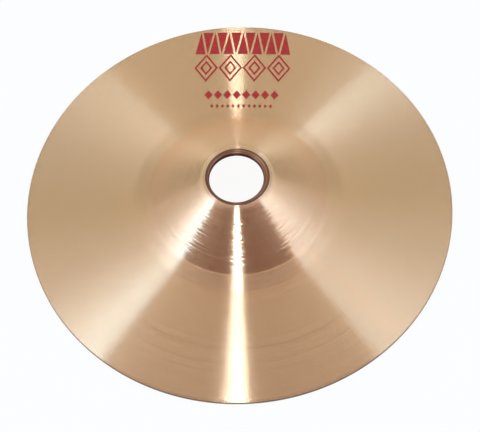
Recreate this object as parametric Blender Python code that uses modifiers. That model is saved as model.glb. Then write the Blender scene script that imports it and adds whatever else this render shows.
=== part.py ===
"""Accent cymbal: one disc of turned bronze with a bell, a bow and a plain hole. Metres, +Z up.

The origin is the centre of the circle that the rim rests on, and +Z runs up the axis through the bell.
"""

import math

import bmesh
import bpy

# Widths, from the middle out
BORE_DIAMETER = 0.0127
BORE_EDGE_RADIUS = 0.00115
CROWN_LAND_WIDTH = 0.0012
BELL_DIAMETER = 0.0424
FOOT_WIDTH = 0.0035
OUTER_DIAMETER = 0.1016
REST_LAND_WIDTH = 0.0012

# Heights that the top side gains, from the rim in
BOW_RISE = 0.0040
FOOT_RISE = 0.0014
BELL_RISE = 0.0092

# How far the bow and the bell stand outside a straight cone
BOW_BULGE = 0.0004
BELL_BULGE = 0.00025

# Thicknesses of the bronze, measured straight down
RIM_THICKNESS = 0.0008
BOW_THICKNESS = 0.0013
BELL_THICKNESS = 0.0016
CROWN_THICKNESS = 0.0016

# How far each rounding reaches along the profile, to both sides of its corner
CROWN_ROUNDING = 0.0006
FOOT_ROUNDING = 0.0007
BORE_UNDER_ROUNDING = 0.0004
RIM_ROUNDING = 0.0002

# How finely the profile and its turning are stepped
ROUNDING_STEPS = 3
SIDE_STEPS = 6
TURN_STEPS = 96

BRONZE_COLOUR = (0.63, 0.42, 0.24, 1.0)
BRONZE_ROUGHNESS = 0.32


def emptied_scene():
    """Removes the scene's objects and returns a new collection for the cymbal."""
    for old in list(bpy.data.objects):
        bpy.data.objects.remove(old, do_unlink=True)
    collection = bpy.data.collections.new("accent_cymbal")
    bpy.context.scene.collection.children.link(collection)
    return collection


def bronze():
    """The lathe-turned bronze."""
    material = bpy.data.materials.new("turned_bronze")
    material.use_nodes = True
    shader = material.node_tree.nodes["Principled BSDF"]
    shader.inputs["Base Color"].default_value = BRONZE_COLOUR
    shader.inputs["Metallic"].default_value = 1.0
    shader.inputs["Roughness"].default_value = BRONZE_ROUGHNESS
    return material


def on_side(start, end, bulge, distance):
    """The point at this distance along the side from start to end, a shallow arc that stands bulge outside its chord."""
    run, rise = end[0] - start[0], end[1] - start[1]
    chord = math.hypot(run, rise)
    t = distance / chord
    lift = 4 * bulge * t * (1 - t)
    return (start[0] + run * t - rise / chord * lift, start[1] + rise * t + run / chord * lift)


def rounding(before, corner, after):
    """Points that bend round the corner, from the one before it to the one after it."""
    points = []
    for step in range(ROUNDING_STEPS + 1):
        t = step / ROUNDING_STEPS
        points.append(tuple(
            a * (1 - t) ** 2 + 2 * b * t * (1 - t) + c * t**2 for a, b, c in zip(before, corner, after)
        ))
    return points


def outline(corners):
    """A closed outline through (radius, height, rounding, bulge of the side that follows) corners."""
    points = []
    for index, (radius, height, reach, bulge) in enumerate(corners):
        corner = (radius, height)
        last_radius, last_height, _, last_bulge = corners[index - 1]
        next_radius, next_height, next_reach, _ = corners[(index + 1) % len(corners)]
        last, following = (last_radius, last_height), (next_radius, next_height)
        if reach:
            before = on_side(last, corner, last_bulge, math.dist(last, corner) - reach)
            after = on_side(corner, following, bulge, reach)
            points += rounding(before, corner, after)
        else:
            points.append(corner)
        if bulge:
            length = math.dist(corner, following)
            stretch = (length - reach - next_reach) / SIDE_STEPS
            points += [
                on_side(corner, following, bulge, reach + stretch * step) for step in range(1, SIDE_STEPS)
            ]
    return points


def cymbal_outline():
    """The cross-section to one side of the axis: out along the top, down the rim and back along the underside."""
    bore = BORE_DIAMETER / 2
    crown = bore + BORE_EDGE_RADIUS + CROWN_LAND_WIDTH
    bell_foot = BELL_DIAMETER / 2
    bow_head = bell_foot + FOOT_WIDTH
    rim = OUTER_DIAMETER / 2

    bow_head_z = RIM_THICKNESS + BOW_RISE
    bell_foot_z = bow_head_z + FOOT_RISE
    crown_z = bell_foot_z + BELL_RISE
    crown_under_z = crown_z - CROWN_THICKNESS

    return outline([
        (bore, crown_z, BORE_EDGE_RADIUS, 0),
        (crown, crown_z, CROWN_ROUNDING, BELL_BULGE),
        (bell_foot, bell_foot_z, FOOT_ROUNDING, 0),
        (bow_head, bow_head_z, FOOT_ROUNDING, BOW_BULGE),
        (rim, RIM_THICKNESS, RIM_ROUNDING, 0),
        (rim, 0, RIM_ROUNDING, 0),
        (rim - REST_LAND_WIDTH, 0, 0, -BOW_BULGE),
        (bow_head, bow_head_z - BOW_THICKNESS, FOOT_ROUNDING, 0),
        (bell_foot, bell_foot_z - BELL_THICKNESS, FOOT_ROUNDING, -BELL_BULGE),
        (crown, crown_under_z, CROWN_ROUNDING, 0),
        (bore, crown_under_z, BORE_UNDER_ROUNDING, 0),
    ])


def turned(name, points, material, collection):
    """A solid of revolution round Z from a closed outline of (radius, height) points."""
    mesh = bpy.data.meshes.new(name)
    drawing = bmesh.new()
    corners = [drawing.verts.new((radius, 0, height)) for radius, height in points]
    for start, end in zip(corners, corners[1:] + corners[:1]):
        drawing.edges.new((start, end))
    drawing.to_mesh(mesh)
    drawing.free()
    mesh.materials.append(material)

    solid = bpy.data.objects.new(name, mesh)
    collection.objects.link(solid)
    screw = solid.modifiers.new("Turn", "SCREW")
    screw.axis = "Z"
    screw.angle = math.tau
    screw.steps = TURN_STEPS
    screw.render_steps = TURN_STEPS
    screw.use_merge_vertices = True
    screw.merge_threshold = 0.00001
    screw.use_smooth_shade = True
    return solid


def main():
    collection = emptied_scene()
    turned("cymbal", cymbal_outline(), bronze(), collection)


main()
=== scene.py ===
"""Accent cymbal of turned bronze, lying on its rim on a white table. Metres, +Z up, in the CAD's frame."""
import math
import random

import bpy
from mathutils import Matrix, Vector


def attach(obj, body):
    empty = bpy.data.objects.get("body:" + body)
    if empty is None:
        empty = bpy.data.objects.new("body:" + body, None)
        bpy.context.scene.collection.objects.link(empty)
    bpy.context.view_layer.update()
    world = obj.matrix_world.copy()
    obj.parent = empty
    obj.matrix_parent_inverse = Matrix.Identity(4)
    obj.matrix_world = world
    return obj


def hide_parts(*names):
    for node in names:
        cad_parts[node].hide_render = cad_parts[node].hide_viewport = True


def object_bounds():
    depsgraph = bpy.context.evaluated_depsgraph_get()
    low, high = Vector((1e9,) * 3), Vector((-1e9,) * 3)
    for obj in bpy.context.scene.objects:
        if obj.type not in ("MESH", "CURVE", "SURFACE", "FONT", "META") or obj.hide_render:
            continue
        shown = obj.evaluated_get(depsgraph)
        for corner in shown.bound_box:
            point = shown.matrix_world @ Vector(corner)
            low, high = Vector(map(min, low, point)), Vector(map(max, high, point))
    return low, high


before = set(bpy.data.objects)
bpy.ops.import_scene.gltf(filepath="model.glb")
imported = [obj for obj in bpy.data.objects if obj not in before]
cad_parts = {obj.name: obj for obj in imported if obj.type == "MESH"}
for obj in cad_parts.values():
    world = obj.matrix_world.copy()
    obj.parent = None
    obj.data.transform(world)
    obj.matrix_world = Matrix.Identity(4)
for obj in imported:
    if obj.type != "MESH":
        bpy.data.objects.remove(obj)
cad_low, cad_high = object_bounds()

MM = 0.001

# Sizes from the frame
OUTER_RADIUS = cad_high.x
HEIGHT = cad_high.z

# Sizes of the section, from the middle out
BORE_RADIUS = 6.35 * MM
BORE_EDGE_RADIUS = 1.15 * MM
BORE_OFFSET = -0.25 * MM
CROWN_RADIUS = 8.7 * MM
BELL_RADIUS = 21.2 * MM
FOOT_WIDTH = 3.5 * MM
REST_LAND_WIDTH = 1.2 * MM

RIM_THICKNESS = 0.8 * MM
BOW_THICKNESS = 1.3 * MM
BELL_THICKNESS = 1.6 * MM
CROWN_THICKNESS = 1.6 * MM
BOW_RISE = 4.0 * MM
FOOT_RISE = 1.4 * MM
BOW_BULGE = 0.4 * MM
BELL_BULGE = 0.25 * MM

CROWN_ROUNDING = 0.6 * MM
FOOT_ROUNDING = 0.7 * MM
BORE_UNDER_ROUNDING = 0.4 * MM
RIM_ROUNDING = 0.2 * MM

# How finely the section is stepped and turned
TURN_STEPS = 168
TOP_STEP = 0.12 * MM
UNDER_STEP = 0.4 * MM
EDGE_STEP = 0.1 * MM
LEAST_ROUNDING_STEPS = 4
MERGE_DISTANCE = 0.01 * MM
BORE_MARGIN = 0.05 * MM

# The lathe's marks
MARK_PITCH = 0.42 * MM
BELL_MARK_DEPTH = 0.0015 * MM
BOW_MARK_DEPTH = 0.0008 * MM
MARK_SEED = 11


# Shader maths

class Value:
    """A shader socket that takes part in Python arithmetic: each operator adds one Math node."""

    def __init__(self, graph, socket):
        self.graph = graph
        self.socket = socket

    def __add__(self, other):
        return self.graph.math("ADD", self, other)

    __radd__ = __add__

    def __sub__(self, other):
        return self.graph.math("SUBTRACT", self, other)

    def __rsub__(self, other):
        return self.graph.math("SUBTRACT", other, self)

    def __mul__(self, other):
        return self.graph.math("MULTIPLY", self, other)

    __rmul__ = __mul__

    def __truediv__(self, other):
        return self.graph.math("DIVIDE", self, other)

    def __rtruediv__(self, other):
        return self.graph.math("DIVIDE", other, self)

    def __pow__(self, other):
        return self.graph.math("POWER", self, other)


class Graph:
    """A node tree that is written as expressions on its values."""

    def __init__(self, tree):
        self.tree = tree
        tree.nodes.clear()

    def node(self, kind, settings=None, inputs=None):
        """A new node with these settings, and with its inputs, by name or number, set or linked."""
        node = self.tree.nodes.new(kind)
        for name, value in (settings or {}).items():
            setattr(node, name, value)
        for name, value in (inputs or {}).items():
            if isinstance(value, Value):
                self.tree.links.new(value.socket, node.inputs[name])
            else:
                node.inputs[name].default_value = value
        return node

    def value(self, kind, settings=None, inputs=None, output=0):
        """The output of a new node, as a value."""
        return Value(self, self.node(kind, settings, inputs).outputs[output])

    def math(self, operation, *values):
        return self.value("ShaderNodeMath", {"operation": operation}, dict(enumerate(values)))

    def vector(self, operation, *values, output=0):
        return self.value("ShaderNodeVectorMath", {"operation": operation}, dict(enumerate(values)), output)

    def scaled(self, vector, factor):
        return self.value("ShaderNodeVectorMath", {"operation": "SCALE"}, {0: vector, "Scale": factor})

    def smooth(self, value, low, high):
        """0 below low, 1 above high, and a smooth rise between them."""
        return self.value(
            "ShaderNodeMapRange",
            {"interpolation_type": "SMOOTHSTEP"},
            {"Value": value, "From Min": low, "From Max": high},
        )

    def mixed(self, factor, first, second):
        """A colour between the first, at 0, and the second, at 1."""
        return self.value("ShaderNodeMix", {"data_type": "RGBA"}, {0: factor, 6: first, 7: second}, 2)


def rgb(red, green, blue):
    """A colour from 0 to 255 as displayed, in the linear values that a shader takes."""
    return tuple(((c / 255 + 0.055) / 1.055) ** 2.4 for c in (red, green, blue)) + (1.0,)


def new_material(name):
    material = bpy.data.materials.new(name)
    material.use_nodes = True
    return material, Graph(material.node_tree)


# The bronze's colours

BRONZE = (0.86, 0.54, 0.32, 1)
CROWN_BRONZE = (0.80, 0.48, 0.30, 1)
# Painted shade: the crown's front is darkened, standing in for the dark that it mirrors.
CROWN_FRONT_PAINTED_SHADE = (0.50, 0.25, 0.135, 1)
CROWN_FRONT_SHADE_SHARE = 0.25
# Painted highlight: a light ring round the edge of the crown, except at the front.
RING_PAINTED_HIGHLIGHT = (0.95, 0.60, 0.44, 1)
RING_HIGHLIGHT_SHARE = 0.7
# Painted highlight: how much lighter the two creases at the bell's foot are, on the front sector.
CREASE_PAINTED_HIGHLIGHT = 0.19
# Painted shade: the hole's rounded edge is coloured dark brown, standing in for the dark it mirrors.
HOLE_EDGE_PAINTED_SHADE = (0.51, 0.225, 0.112, 1)
HOLE_LINE_PAINTED_SHADE = (0.10, 0.04, 0.025, 1)
# Painted shade: the rim's wall is dark brown all round, standing in for the table's shadow that it mirrors where
# it meets the table.
RIM_EDGE_PAINTED_SHADE = (0.20, 0.13, 0.09, 1)

# The bronze's finish
BRONZE_ROUGHNESS = 0.20
HOLE_EDGE_ROUGHER = 0.30
HOLE_EDGE_TARNISH = 0.3
MICRO_TILT = 0.65
BELL_SPREAD = 0.36
CREASE_SPREAD = 1.2
COMB_TILT = 0.35
SECTOR_TILT = 0.04
PLAIN_TILT = 0.01
CROWN_SLOPE = 0.30

# How far lines and specks turn the light aside: on the comb, how much more to its sides, and elsewhere
LINE_SWERVE = 0.05
LINE_SWERVE_ASIDE = 0.03
LINE_SWERVE_PLAIN = 0.003
SPECK_SWERVE = 0.012
SPECK_SWERVE_ASIDE = 0.05
SPECK_SWERVE_PLAIN = 0.004
FAR_LEAN = 0.018

# How strongly the lines show in the colour
COMB_CONTRAST = 0.04
BOW_CONTRAST = 0.08
BOW_BAND_CONTRAST = 0.16
SECTOR_CONTRAST = 0.9
AROUND_CONTRAST = 0.35
BELL_CALMER = 0.6
FINE_RING_DEPTH = 0.7
# Painted shade: how much darker the hole's edge is at the front.
HOLE_FRONT_PAINTED_SHADE = 0.4

# Where the finish changes: two distances from the axis, between which it does so
HOLE_LINE_END = (6.45 * MM, 6.65 * MM)
HOLE_BAND_END = (7.25 * MM, 7.4 * MM)
HOLE_EDGE_END = (7.45 * MM, 7.6 * MM)
CROWN_FRONT_START = (7.5 * MM, 7.6 * MM)
CROWN_FRONT_END = (8.3 * MM, 9.3 * MM)
CROWN_END = (7.9 * MM, 8.5 * MM)
COMB_START = (9 * MM, 11 * MM)
COMB_END = (18 * MM, 21 * MM)
BELL_END = (20.5 * MM, 22 * MM)
RIM_EDGE_START = (50.66 * MM, 50.76 * MM)

# The same along Y, from the front to the far side
FRONT_END = (-12 * MM, 4 * MM)
CROWN_FRONT_SIDES = (-6.5 * MM, -1 * MM)
FAR_START = (4 * MM, 12 * MM)

# The same as a share of the way from the middle line to the side
ASIDE_START = (0.15, 0.45)
SECTOR_END = (0.50, 0.70)
COMBED_END = (0.70, 0.88)

# Single circles, each as its radius and its half width
INNER_FINE_RING = (6.86 * MM, 0.15 * MM)
OUTER_FINE_RING = (7.16 * MM, 0.14 * MM)
HIGHLIGHT_RING = (8.25 * MM, 0.14 * MM)
BELL_CREASE = (21.15 * MM, 0.3 * MM)
BOW_CREASE = (24.75 * MM, 0.3 * MM)

# How many of the lathe's lines there are to a metre
BAND_DENSITY = 110.0
LINE_DENSITY = 1450.0
COARSE_DENSITY = 2300.0
SWERVE_DENSITY = 2900.0
LINE_NOISE_ROUGHNESS = 0.6
LINE_CONTRAST_RANGE = (0.45, 0.60)
CHANCE_DENSITY = 1000.0
CHANCE_LIMIT = 0.99


class Turning:
    """Values over the turned top that its normal and its colour share."""

    def __init__(self, graph):
        self.graph = graph
        self.place = graph.value("ShaderNodeTexCoord", output=3)
        split = graph.node("ShaderNodeSeparateXYZ", inputs={0: self.place})
        x, self.y = Value(graph, split.outputs[0]), Value(graph, split.outputs[1])
        self.flat = graph.value("ShaderNodeCombineXYZ", inputs={0: x, 1: self.y})
        self.radius = graph.vector("LENGTH", self.flat, output=1)
        self.sideness = graph.math("ABSOLUTE", x) / self.radius
        self.front = 1 - graph.smooth(self.y, *FRONT_END)
        self.sector = self.front * (1 - graph.smooth(self.sideness, *SECTOR_END))
        self.on_bell = graph.smooth(self.radius, *COMB_START) * (1 - graph.smooth(self.radius, *COMB_END))
        self.bell = 1 - graph.smooth(self.radius, *BELL_END)
        self.line = self.rings(LINE_DENSITY, 1.0) - 0.5
        self.crease = (self.ring_at(*BELL_CREASE) + self.ring_at(*BOW_CREASE)) * self.sector
        crown_front = graph.smooth(self.radius, *CROWN_FRONT_START)
        crown_front = crown_front * (1 - graph.smooth(self.radius, *CROWN_FRONT_END))
        self.crown_front = crown_front * (1 - graph.smooth(self.y, *CROWN_FRONT_SIDES))

    def rings(self, per_metre, detail):
        """Random rings round the axis, from 0 to 1."""
        return self.graph.value(
            "ShaderNodeTexNoise",
            {"noise_dimensions": "1D", "normalize": True},
            {
                "W": self.radius * per_metre, "Scale": 1.0,
                "Detail": detail, "Roughness": LINE_NOISE_ROUGHNESS,
            },
        )

    def ring_at(self, middle, reach, distance=None):
        """1 on the circle of this radius, and 0 from reach away."""
        distance = distance or self.radius
        return 1 - self.graph.smooth(self.graph.math("ABSOLUTE", distance - middle), 0.0, reach)


def scraped_normal(graph, top):
    """The surface's direction, tilted in or out by each line at random and turned a little along it."""
    chance = graph.value(
        "ShaderNodeTexWhiteNoise", {"noise_dimensions": "1D"}, {"W": top.radius * CHANCE_DENSITY}
    )
    chance = chance * (2 * CHANCE_LIMIT) - CHANCE_LIMIT
    spread = chance / graph.math("SQRT", 1 - chance * chance) * MICRO_TILT
    tilt = spread * (1 - top.bell * (1 - BELL_SPREAD)) * (1 + top.crease * CREASE_SPREAD)
    tilt = tilt + top.line * (top.on_bell * top.front * COMB_TILT + top.sector * SECTOR_TILT + PLAIN_TILT)
    tilt = tilt + top.crown_front * CROWN_SLOPE

    aside = graph.smooth(top.sideness, *ASIDE_START)
    combed = top.on_bell * (1 - graph.smooth(top.sideness, *COMBED_END))
    scatter = graph.value("ShaderNodeTexWhiteNoise", {"noise_dimensions": "3D"}, {"Vector": top.place})
    scatter = scatter * 2 - 1
    coarse = graph.smooth(top.rings(COARSE_DENSITY, 1.0), *LINE_CONTRAST_RANGE)
    line_swerve = combed * (aside * LINE_SWERVE_ASIDE + LINE_SWERVE) + LINE_SWERVE_PLAIN
    speck_swerve = combed * (aside * SPECK_SWERVE_ASIDE + SPECK_SWERVE) + SPECK_SWERVE_PLAIN
    swerve = (top.rings(SWERVE_DENSITY, 0.0) - 0.5) * line_swerve + scatter * coarse * speck_swerve
    swerve = swerve + graph.smooth(top.y, *FAR_START) * (1 - aside) * FAR_LEAN

    normal = graph.value("ShaderNodeNewGeometry", output=1)
    outward = graph.vector("NORMALIZE", top.flat)
    sideways = graph.vector("CROSS_PRODUCT", (0, 0, 1), outward)
    tilted = graph.vector("ADD", normal, graph.scaled(outward, tilt))
    return graph.vector("NORMALIZE", graph.vector("ADD", tilted, graph.scaled(sideways, swerve)))


def hole_edge_painted_shade(graph, top):
    """The hole's edge in painted shade, dark brown where its rounding mirrors the dark: a dark line at the bore,
    then a lighter band with two fine rings, darker still at the front.
    """
    bore_distance = graph.vector("LENGTH", graph.vector("SUBTRACT", top.flat, (BORE_OFFSET, 0, 0)), output=1)
    band = graph.smooth(bore_distance, *HOLE_LINE_END) * (1 - graph.smooth(top.radius, *HOLE_BAND_END))
    fine_rings = top.ring_at(*INNER_FINE_RING, bore_distance) + top.ring_at(*OUTER_FINE_RING)
    band = band * (1 - fine_rings * FINE_RING_DEPTH)
    return graph.mixed(band * (1 - top.front * HOLE_FRONT_PAINTED_SHADE), HOLE_LINE_PAINTED_SHADE, HOLE_EDGE_PAINTED_SHADE)


def bronze_shade(graph, top, hole_edge):
    """The bronze's colour: lines, painted highlights on the creases, the crown with painted shade on its front
    and a painted highlight ring, then the brown edges of the hole and the rim in painted shade.
    """
    bow_line = graph.smooth(top.rings(BAND_DENSITY, 0.0), *LINE_CONTRAST_RANGE) * BOW_BAND_CONTRAST + BOW_CONTRAST
    # The lines are the lathe marks' own tone; made stronger on the front sector, they are partly a painted
    # reflection of the light arcs the marks catch there.
    bow_line = bow_line * (top.sector * SECTOR_CONTRAST + AROUND_CONTRAST)
    contrast = top.on_bell * COMB_CONTRAST + bow_line * (1 - top.bell * BELL_CALMER)
    # The creases are lightened by a painted highlight, on the front sector only
    bronze = graph.scaled(BRONZE[:3], 1 + top.line * contrast + top.crease * CREASE_PAINTED_HIGHLIGHT)
    bronze = graph.mixed(1 - graph.smooth(top.radius, *CROWN_END), bronze, CROWN_BRONZE)
    # Painted shade on the front of the crown
    bronze = graph.mixed(top.crown_front * CROWN_FRONT_SHADE_SHARE, bronze, CROWN_FRONT_PAINTED_SHADE)
    # Painted highlight: a light ring at the crown's edge, except at the front
    painted_highlight = top.ring_at(*HIGHLIGHT_RING) * (1 - top.front) * RING_HIGHLIGHT_SHARE
    bronze = graph.mixed(painted_highlight, bronze, RING_PAINTED_HIGHLIGHT)
    # Painted shade on the hole's edge
    shade = graph.mixed(hole_edge, bronze, hole_edge_painted_shade(graph, top))
    # Painted shade on the rim's wall, where it meets the table
    return graph.mixed(graph.smooth(top.radius, *RIM_EDGE_START), shade, RIM_EDGE_PAINTED_SHADE)


def turned_bronze():
    """Bronze scraped on a lathe: each point reflects in a fan square to its turning lines."""
    material, graph = new_material("turned_bronze")
    top = Turning(graph)
    hole_edge = 1 - graph.smooth(top.radius, *HOLE_EDGE_END)
    shader = graph.node("ShaderNodeBsdfPrincipled", inputs={
        "Base Color": bronze_shade(graph, top, hole_edge),
        "Metallic": 1 - hole_edge * HOLE_EDGE_TARNISH,
        "Roughness": hole_edge * HOLE_EDGE_ROUGHER + BRONZE_ROUGHNESS,
        "Anisotropic": 1.0,
        "Anisotropic Rotation": 0.25,
        "Normal": scraped_normal(graph, top),
    })
    graph.node("ShaderNodeOutputMaterial", inputs={0: Value(graph, shader.outputs[0])})
    return material


# The ink and the table

INK_RED = rgb(188, 24, 22)
INK_DARK_RED = rgb(168, 18, 18)
INK_GRAIN_DEPTH = 0.02 * MM
INK_ROUGHNESS = 0.38
FLOOR_PAINT = (0.8, 0.8, 0.8, 1)
FLOOR_WHITE = 0.93


def red_ink():
    """Printing ink on the bronze: an even red film, a little mottled, thinner where it spread less."""
    material, graph = new_material("red_ink")
    place = graph.value("ShaderNodeTexCoord", output=3)
    mottle = graph.value("ShaderNodeTexNoise", inputs={"Vector": place, "Scale": 900.0, "Detail": 3.0})
    grain = graph.value("ShaderNodeTexNoise", inputs={"Vector": place, "Scale": 5200.0, "Detail": 2.0})
    thin = graph.smooth(grain, 0.58, 0.75) * 0.35
    shade = graph.mixed(graph.smooth(mottle, 0.3, 0.7), INK_RED, INK_DARK_RED)
    shade = graph.mixed(thin, shade, BRONZE)
    bump = graph.value("ShaderNodeBump", inputs={
        "Height": grain, "Strength": 0.25, "Distance": INK_GRAIN_DEPTH,
    })
    shader = graph.node("ShaderNodeBsdfPrincipled", inputs={
        "Base Color": shade,
        "Roughness": INK_ROUGHNESS + mottle * 0.25,
        "Normal": bump,
    })
    graph.node("ShaderNodeOutputMaterial", inputs={0: Value(graph, shader.outputs[0])})
    return material


def white_table():
    """A white table top that stays white in a picture and in the bronze, and keeps the cymbal's shadow."""
    material, graph = new_material("white_table")
    path = graph.node("ShaderNodeLightPath")
    camera, glossy, through = (Value(graph, path.outputs[name]) for name in (
        "Is Camera Ray", "Is Glossy Ray", "Is Transmission Ray"
    ))
    seen = graph.math("MINIMUM", camera + glossy + through, 1.0)
    paint = graph.node("ShaderNodeBsdfDiffuse", inputs={"Color": FLOOR_PAINT})
    glow = graph.node("ShaderNodeEmission", inputs={"Color": (1, 1, 1, 1), "Strength": 1.0})
    both = graph.node("ShaderNodeMixShader", inputs={
        0: seen * FLOOR_WHITE, 1: Value(graph, paint.outputs[0]), 2: Value(graph, glow.outputs[0])
    })
    graph.node("ShaderNodeOutputMaterial", inputs={0: Value(graph, both.outputs[0])})
    return material


# The cymbal's section

def on_side(start, end, bulge, distance):
    """The point at this distance along an arc from start to end that stands bulge outside its chord."""
    run, rise = end[0] - start[0], end[1] - start[1]
    chord = math.hypot(run, rise)
    t = distance / chord
    lift = 4 * bulge * t * (1 - t)
    return (start[0] + run * t - rise / chord * lift, start[1] + rise * t + run / chord * lift)


def rounded_side(corners, step):
    """Points a step apart along (radius, height, rounding, bulge of the side that follows) corners."""
    points = []
    for index, (radius, height, reach, bulge) in enumerate(corners):
        corner = (radius, height)
        if index and reach:
            last, last_bulge = corners[index - 1][:2], corners[index - 1][3]
            before = on_side(last, corner, last_bulge, math.dist(last, corner) - reach)
            after = on_side(corner, corners[index + 1][:2], bulge, reach)
            count = max(LEAST_ROUNDING_STEPS, round(2 * reach / step))
            for turn in range(count):
                t = turn / count
                points.append(tuple(
                    a * (1 - t) ** 2 + 2 * b * t * (1 - t) + c * t**2
                    for a, b, c in zip(before, corner, after)
                ))
        if index == len(corners) - 1:
            points.append(corner)
            continue
        following, next_reach = corners[index + 1][:2], corners[index + 1][2]
        start = reach if index else 0
        end = next_reach if index + 2 < len(corners) else 0
        length = math.dist(corner, following) - end - start
        count = max(1, round(length / step))
        points += [on_side(corner, following, bulge, start + length * k / count) for k in range(count)]
    return points


def turning_marks():
    """The depth of the tool's cut at each radius: a smooth curve through random depths, a pitch apart."""
    rng = random.Random(MARK_SEED)
    depths = [rng.uniform(-1, 1) for _ in range(math.ceil(OUTER_RADIUS / MARK_PITCH) + 2)]

    def relief(radius):
        place = radius / MARK_PITCH
        index = int(place)
        t = (1 - math.cos((place - index) * math.pi)) / 2
        depth = BELL_MARK_DEPTH if radius < BELL_RADIUS else BOW_MARK_DEPTH
        inside = min(1, max(0, radius - CROWN_RADIUS) / MM, (OUTER_RADIUS - radius) / MM)
        return (depths[index] * (1 - t) + depths[index + 1] * t) * depth * inside

    return relief


def cymbal_section():
    """The closed section to one side of the axis, as (radius, height): bore, top side, rim, underside."""
    bow_head = BELL_RADIUS + FOOT_WIDTH
    bow_head_z = RIM_THICKNESS + BOW_RISE
    foot_z = bow_head_z + FOOT_RISE
    under_z = HEIGHT - CROWN_THICKNESS
    top = [
        (BORE_RADIUS + BORE_EDGE_RADIUS, HEIGHT, 0, 0),
        (CROWN_RADIUS, HEIGHT, CROWN_ROUNDING, BELL_BULGE),
        (BELL_RADIUS, foot_z, FOOT_ROUNDING, 0),
        (bow_head, bow_head_z, FOOT_ROUNDING, BOW_BULGE),
        (OUTER_RADIUS, RIM_THICKNESS, 0, 0),
    ]
    under = [
        (OUTER_RADIUS - REST_LAND_WIDTH, 0, 0, -BOW_BULGE),
        (bow_head, bow_head_z - BOW_THICKNESS, FOOT_ROUNDING, 0),
        (BELL_RADIUS, foot_z - BELL_THICKNESS, FOOT_ROUNDING, -BELL_BULGE),
        (CROWN_RADIUS, under_z, CROWN_ROUNDING, 0),
        (BORE_RADIUS, under_z, 0, 0),
    ]
    bore = rounded_side([
        (BORE_RADIUS + 2 * BORE_UNDER_ROUNDING, under_z, 0, 0),
        (BORE_RADIUS, under_z, BORE_UNDER_ROUNDING, 0),
        (BORE_RADIUS, HEIGHT, BORE_EDGE_RADIUS, 0),
        (BORE_RADIUS + BORE_EDGE_RADIUS, HEIGHT, 0, 0),
    ], EDGE_STEP)
    rim = rounded_side([
        (OUTER_RADIUS - 2 * RIM_ROUNDING, RIM_THICKNESS, 0, 0),
        (OUTER_RADIUS, RIM_THICKNESS, RIM_ROUNDING, 0),
        (OUTER_RADIUS, 0, RIM_ROUNDING, 0),
        (OUTER_RADIUS - REST_LAND_WIDTH, 0, 0, 0),
    ], EDGE_STEP)
    relief = turning_marks()
    top_side = [
        (radius, height + relief(radius)) for radius, height in rounded_side(top, TOP_STEP)
        if radius < OUTER_RADIUS - 2 * RIM_ROUNDING
    ]
    under_side = [p for p in rounded_side(under, UNDER_STEP) if p[0] > BORE_RADIUS + 2 * BORE_UNDER_ROUNDING]
    return bore[:-1] + top_side + rim[:-1] + under_side


def shift_bore(cymbal):
    """Moves the bore's wall to one side, and the rounding above it less and less."""
    for vertex in cymbal.data.vertices:
        vertex.select = vertex.co.to_2d().length < BORE_RADIUS + BORE_MARGIN
    bpy.ops.object.mode_set(mode="EDIT")
    bpy.ops.transform.translate(
        value=(BORE_OFFSET, 0, 0),
        use_proportional_edit=True,
        proportional_edit_falloff="SMOOTH",
        proportional_size=BORE_EDGE_RADIUS,
    )
    bpy.ops.object.mode_set(mode="OBJECT")


def turned_cymbal(material):
    """The section, drawn vertex by vertex and spun round the axis."""
    section = cymbal_section()
    bpy.ops.object.select_all(action="DESELECT")
    bpy.ops.mesh.primitive_plane_add(size=MM)
    cymbal = bpy.context.object
    cymbal.name = "turned_cymbal"
    bpy.ops.object.mode_set(mode="EDIT")
    bpy.ops.mesh.merge(type="CENTER")
    here = Vector((0, 0, 0))
    first = Vector((section[0][0], 0, section[0][1]))
    bpy.ops.transform.translate(value=first - here)
    here = first
    for radius, height in section[1:]:
        point = Vector((radius, 0, height))
        bpy.ops.mesh.extrude_region_move(TRANSFORM_OT_translate={"value": point - here})
        here = point
    bpy.ops.mesh.select_all(action="SELECT")
    bpy.ops.mesh.edge_face_add()
    bpy.ops.mesh.delete(type="ONLY_FACE")
    bpy.ops.mesh.select_all(action="SELECT")
    bpy.ops.mesh.spin(steps=TURN_STEPS, angle=math.tau, center=(0, 0, 0), axis=(0, 0, 1))
    bpy.ops.mesh.select_all(action="SELECT")
    bpy.ops.mesh.remove_doubles(threshold=MERGE_DISTANCE)
    bpy.ops.mesh.normals_make_consistent(inside=False)
    bpy.ops.mesh.select_all(action="DESELECT")
    bpy.ops.object.mode_set(mode="OBJECT")
    shift_bore(cymbal)
    bpy.ops.object.shade_smooth()
    cymbal.data.materials.append(material)
    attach(cymbal, "root")
    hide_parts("cymbal")
    return cymbal


# The ink on the bow

INK_TURN = math.radians(-4.4)
INK_ABOVE = 30 * MM
INK_FILM = 0.02 * MM
INK_DEPTH = 0.08 * MM
DIAMOND_LINE = 0.44 * MM
DIAMOND_PITCH = 5.95 * MM
DIAMOND_DISTANCE = 37.3 * MM


def ink_mark(corners, width, height, line=0.0):
    """A flat mark with this many corners, solid, or drawn in a line of this width."""
    bpy.ops.object.select_all(action="DESELECT")
    bpy.ops.mesh.primitive_circle_add(
        vertices=corners, radius=MM, fill_type="NGON", location=(0, 0, INK_ABOVE)
    )
    mark = bpy.context.object
    across, along = mark.dimensions.x, mark.dimensions.y
    bpy.ops.object.mode_set(mode="EDIT")
    bpy.ops.mesh.select_all(action="SELECT")
    bpy.ops.transform.resize(value=(width / across, height / along, 1))
    if line:
        bpy.ops.mesh.inset(thickness=line, use_even_offset=True)
        bpy.ops.mesh.delete(type="FACE")
        bpy.ops.mesh.select_all(action="SELECT")
    bpy.ops.mesh.subdivide(number_cuts=3)
    bpy.ops.object.mode_set(mode="OBJECT")
    bpy.ops.object.origin_set(type="ORIGIN_GEOMETRY", center="BOUNDS")
    return mark


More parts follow.
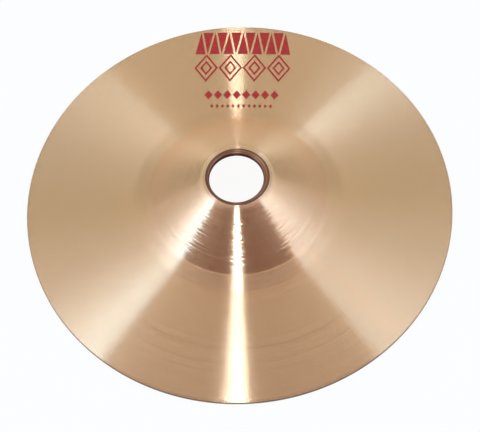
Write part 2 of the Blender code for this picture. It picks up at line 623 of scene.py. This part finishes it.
def ink_row(name, mark, count, pitch, distance, cymbal, material, alternate=False):
    """Copies of the mark in a row across the bow's far side, laid on the bronze and given their thickness."""
    marks = []
    for index in range(count):
        copy = mark.copy()
        copy.data = mark.data.copy()
        bpy.context.scene.collection.objects.link(copy)
        place = Vector(((index - (count - 1) / 2) * pitch, distance, 0))
        turn = Matrix.Rotation(math.pi * (index % 2), 4, "Z") if alternate else Matrix()
        lift = Matrix.Translation((0, 0, INK_ABOVE))
        copy.matrix_world = Matrix.Rotation(INK_TURN, 4, "Z") @ Matrix.Translation(place) @ turn @ lift
        marks.append(copy)
    bpy.data.objects.remove(mark, do_unlink=True)
    bpy.ops.object.select_all(action="DESELECT")
    for copy in marks:
        copy.select_set(True)
    row = marks[0]
    bpy.context.view_layer.objects.active = row
    bpy.ops.object.join()
    bpy.ops.object.transform_apply(location=True, rotation=True, scale=True)
    row.name = name
    wrap = row.modifiers.new("Laid", "SHRINKWRAP")
    wrap.target = cymbal
    wrap.wrap_method = "PROJECT"
    wrap.use_project_z = True
    wrap.use_negative_direction = True
    wrap.use_positive_direction = False
    wrap.wrap_mode = "ABOVE_SURFACE"
    wrap.offset = INK_FILM
    bpy.ops.object.modifier_apply(modifier="Laid")
    film = row.modifiers.new("Film", "SOLIDIFY")
    film.thickness = INK_DEPTH
    film.offset = -1
    bpy.ops.object.modifier_apply(modifier="Film")
    bpy.ops.object.mode_set(mode="EDIT")
    bpy.ops.mesh.select_all(action="SELECT")
    bpy.ops.mesh.normals_make_consistent(inside=False)
    bpy.ops.object.mode_set(mode="OBJECT")
    row.data.materials.append(material)
    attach(row, "root")


def ink_ornament(cymbal):
    """Rows in red ink, from the rim in: darts, open diamonds with smaller ones in them, lozenges and studs."""
    ink = red_ink()
    ink_row(
        "ink_darts", ink_mark(3, 2.5 * MM, 7.1 * MM),
        count=13, pitch=1.75 * MM, distance=45.3 * MM, cymbal=cymbal, material=ink, alternate=True,
    )
    ink_row(
        "ink_diamonds", ink_mark(4, 5.8 * MM, 8.8 * MM, DIAMOND_LINE),
        count=4, pitch=DIAMOND_PITCH, distance=DIAMOND_DISTANCE, cymbal=cymbal, material=ink,
    )
    ink_row(
        "ink_diamond_hearts", ink_mark(4, 3.0 * MM, 4.6 * MM, DIAMOND_LINE),
        count=4, pitch=DIAMOND_PITCH, distance=DIAMOND_DISTANCE, cymbal=cymbal, material=ink,
    )
    ink_row(
        "ink_lozenges", ink_mark(4, 2.0 * MM, 2.7 * MM),
        count=8, pitch=2.3 * MM, distance=28.9 * MM, cymbal=cymbal, material=ink,
    )
    ink_row(
        "ink_studs", ink_mark(4, 0.8 * MM, 1.2 * MM),
        count=12, pitch=1.3 * MM, distance=25.5 * MM, cymbal=cymbal, material=ink,
    )


# The studio

CAMERA_DISTANCE = 500 * MM
CAMERA_ELEVATION = math.radians(62.17)
CAMERA_ROLL = math.radians(-3.50)
CAMERA_LENS = 156.86
AIM_HEIGHT = 0.4 * MM
AIM_RIGHT = 0.185 * MM
AIM_UP = -2.161 * MM
TABLE_SIZE = 8

# Light, as red, green and blue
TOP_LIGHT = (0.99, 1.07, 1.2)
HALF_LIGHT = (1.3, 1.3, 1.5)
BACK_LIGHT = (0.54, 0.6, 0.42)
DARK_LIGHT = (0.12, 0.035, 0.012)
LEFT_WALL = (1.58, 3.1, 5.0)
RIGHT_WALL = (0.32, 0.87, 1.47)
BACK_RIGHT_WALL = (0.30, 0.50, 0.87)
BACK_LEFT_WALL = (0.22, 0.30, 0.45)
SIDE_LIGHT = (0.1, 0.1, 0.1)
LOW_LIGHT = (1.0, 1.0, 1.0)
RIGHT_LAMP = (1.4, 0.8, 0.4)
FRONT_LAMP = (7.8, 10.2, 12.6)
LAMP_DISTANCE = 1.2

# Where the studio's light changes, along the x, y or z of the direction towards it
MIRROR_Y = 0.457
DARK_END_Y = (-0.27, -0.04)
TOP_START_Y = (-0.05, 0.20)
BACK_START_Y = (0.25, 0.65)
LEFT_TURN_Y = (-0.25, 0.10)
FAR_START_Y = (0.30, 0.60)
WALL_START_X = (0.22, 0.45)
LOW_SIDE_START_X = (0.50, 0.75)
LOW_SIDE_END_Z = (0.25, 0.50)
LOW_BAND_END_Z = (0.10, 0.13)
DARK_BEND = 0.15
FAR_RAISE = 0.12

# A wall brightens as its lines get steeper, to a power, and ends at a steepness. To each of these numbers,
# the walls behind and the wall on the left add or take off their own.
WALL_POWER = 1.5
BEHIND_POWER = 0.7
LEFT_POWER = 1.1
WALL_EDGE = 1.41
BEHIND_EDGE = 0.4
LEFT_EDGE = 0.25
LEFT_TURN_EDGE = 0.2
WALL_FADE = (0.88, 1.0)


def photographers_camera():
    back = Vector((0, -math.cos(CAMERA_ELEVATION), math.sin(CAMERA_ELEVATION)))
    level = Vector((1, 0, 0))
    upright = back.cross(level)
    right = level * math.cos(CAMERA_ROLL) + upright * math.sin(CAMERA_ROLL)
    up = back.cross(right)
    data = bpy.data.cameras.new("camera")
    data.lens = CAMERA_LENS
    data.sensor_width = 36
    data.clip_start = 0.01
    camera = bpy.data.objects.new("camera", data)
    bpy.context.scene.collection.objects.link(camera)
    place = back * CAMERA_DISTANCE + right * AIM_RIGHT + up * AIM_UP + Vector((0, 0, AIM_HEIGHT))
    camera.matrix_world = Matrix.Translation(place) @ Matrix((right, up, back)).transposed().to_4x4()
    bpy.context.scene.camera = camera


def table_top():
    bpy.ops.object.select_all(action="DESELECT")
    bpy.ops.mesh.primitive_plane_add(size=TABLE_SIZE, location=(0, 0, 0))
    floor = bpy.context.object
    floor.name = "table_top"
    floor.data.materials.append(white_table())


def upward(x, y):
    """The direction above the horizon with this x and y."""
    return Vector((x, y, math.sqrt(1 - x * x - y * y)))


def strip_lamp(name, low, high, width, light):
    """A long lamp from one direction, seen from the cymbal, to the other. Its light is that of its face."""
    low, high = upward(*low) * LAMP_DISTANCE, upward(*high) * LAMP_DISTANCE
    along = (high - low).normalized()
    middle = (low + high) / 2
    away = (middle - along * middle.dot(along)).normalized()
    data = bpy.data.lights.new(name, "AREA")
    data.shape = "RECTANGLE"
    data.size = width
    data.size_y = (high - low).length
    data.energy = max(light) * math.pi * data.size * data.size_y
    data.color = [part / max(light) for part in light]
    lamp = bpy.data.objects.new(name, data)
    bpy.context.scene.collection.objects.link(lamp)
    turn = Matrix((along.cross(away), along, away)).transposed().to_4x4()
    lamp.matrix_world = Matrix.Translation(middle) @ turn


def studio_world():
    """A pale studio: bright overhead and behind, dark towards the camera, and white low down all round.

    Four coloured walls grow brighter towards the front or the back, and then end at an edge. Like the
    lamps, they lie in a fan of lines that meet in the camera's mirror direction, because the turned metal
    gathers its light along them.
    """
    world = bpy.data.worlds.new("studio")
    world.use_nodes = True
    graph = Graph(world.node_tree)
    toward = graph.value("ShaderNodeTexCoord", output=0)
    split = graph.node("ShaderNodeSeparateXYZ", inputs={0: toward})
    x, y, z = (Value(graph, split.outputs[k]) for k in range(3))
    off_middle = graph.math("ABSOLUTE", x)

    lit = graph.smooth(y + off_middle * DARK_BEND, *DARK_END_Y)
    top = graph.smooth(y, *TOP_START_Y)
    back = graph.smooth(y, *BACK_START_Y)

    slant = (y - MIRROR_Y) / x
    leftward = graph.math("GREATER_THAN", slant, 0.0)
    behind = graph.math("GREATER_THAN", y, MIRROR_Y)
    left_front = leftward * (1 - behind)
    steep = graph.math("ABSOLUTE", slant)
    left_edge = LEFT_EDGE + LEFT_TURN_EDGE * graph.smooth(y, *LEFT_TURN_Y)
    edge = WALL_EDGE + behind * BEHIND_EDGE - left_front * left_edge
    wall = steep ** (WALL_POWER + behind * BEHIND_POWER + left_front * LEFT_POWER)
    wall = wall * (1 - graph.smooth(steep / edge, *WALL_FADE)) * graph.smooth(off_middle, *WALL_START_X)

    low_band = 1 - graph.smooth(z, *LOW_BAND_END_Z)
    raised = graph.smooth(y, *FAR_START_Y) * FAR_RAISE
    low_side = graph.smooth(off_middle + raised, *LOW_SIDE_START_X)
    low_side = low_side * (1 - graph.smooth(z - raised, *LOW_SIDE_END_Z))

    light = (0, 0, 0)
    for colour, share in (
        (HALF_LIGHT, lit * (1 - top)),
        (TOP_LIGHT, top * (1 - back)),
        (BACK_LIGHT, back),
        (DARK_LIGHT, 1 - lit),
        (LEFT_WALL, wall * left_front),
        (RIGHT_WALL, wall * (1 - leftward) * (1 - behind)),
        (BACK_RIGHT_WALL, wall * leftward * behind),
        (BACK_LEFT_WALL, wall * (1 - leftward) * behind),
    ):
        light = graph.vector("ADD", light, graph.scaled(colour, share))
    light = graph.vector("ADD", graph.scaled(light, 1 - low_side), graph.scaled(SIDE_LIGHT, low_side))
    light = graph.vector("ADD", graph.scaled(light, 1 - low_band), graph.scaled(LOW_LIGHT, low_band))
    shader = graph.node("ShaderNodeBackground", inputs={"Color": light, "Strength": 1.0})
    graph.node("ShaderNodeOutputWorld", inputs={0: Value(graph, shader.outputs[0])})
    bpy.context.scene.world = world


bpy.context.scene.view_settings.view_transform = "Standard"
ink_ornament(turned_cymbal(turned_bronze()))
table_top()
photographers_camera()
studio_world()
strip_lamp("right_lamp", low=(0.72, -0.59), high=(0.68, -0.16), width=0.14, light=RIGHT_LAMP)
strip_lamp("front_lamp", low=(-0.066, -0.842), high=(-0.060, -0.252), width=0.112, light=FRONT_LAMP)
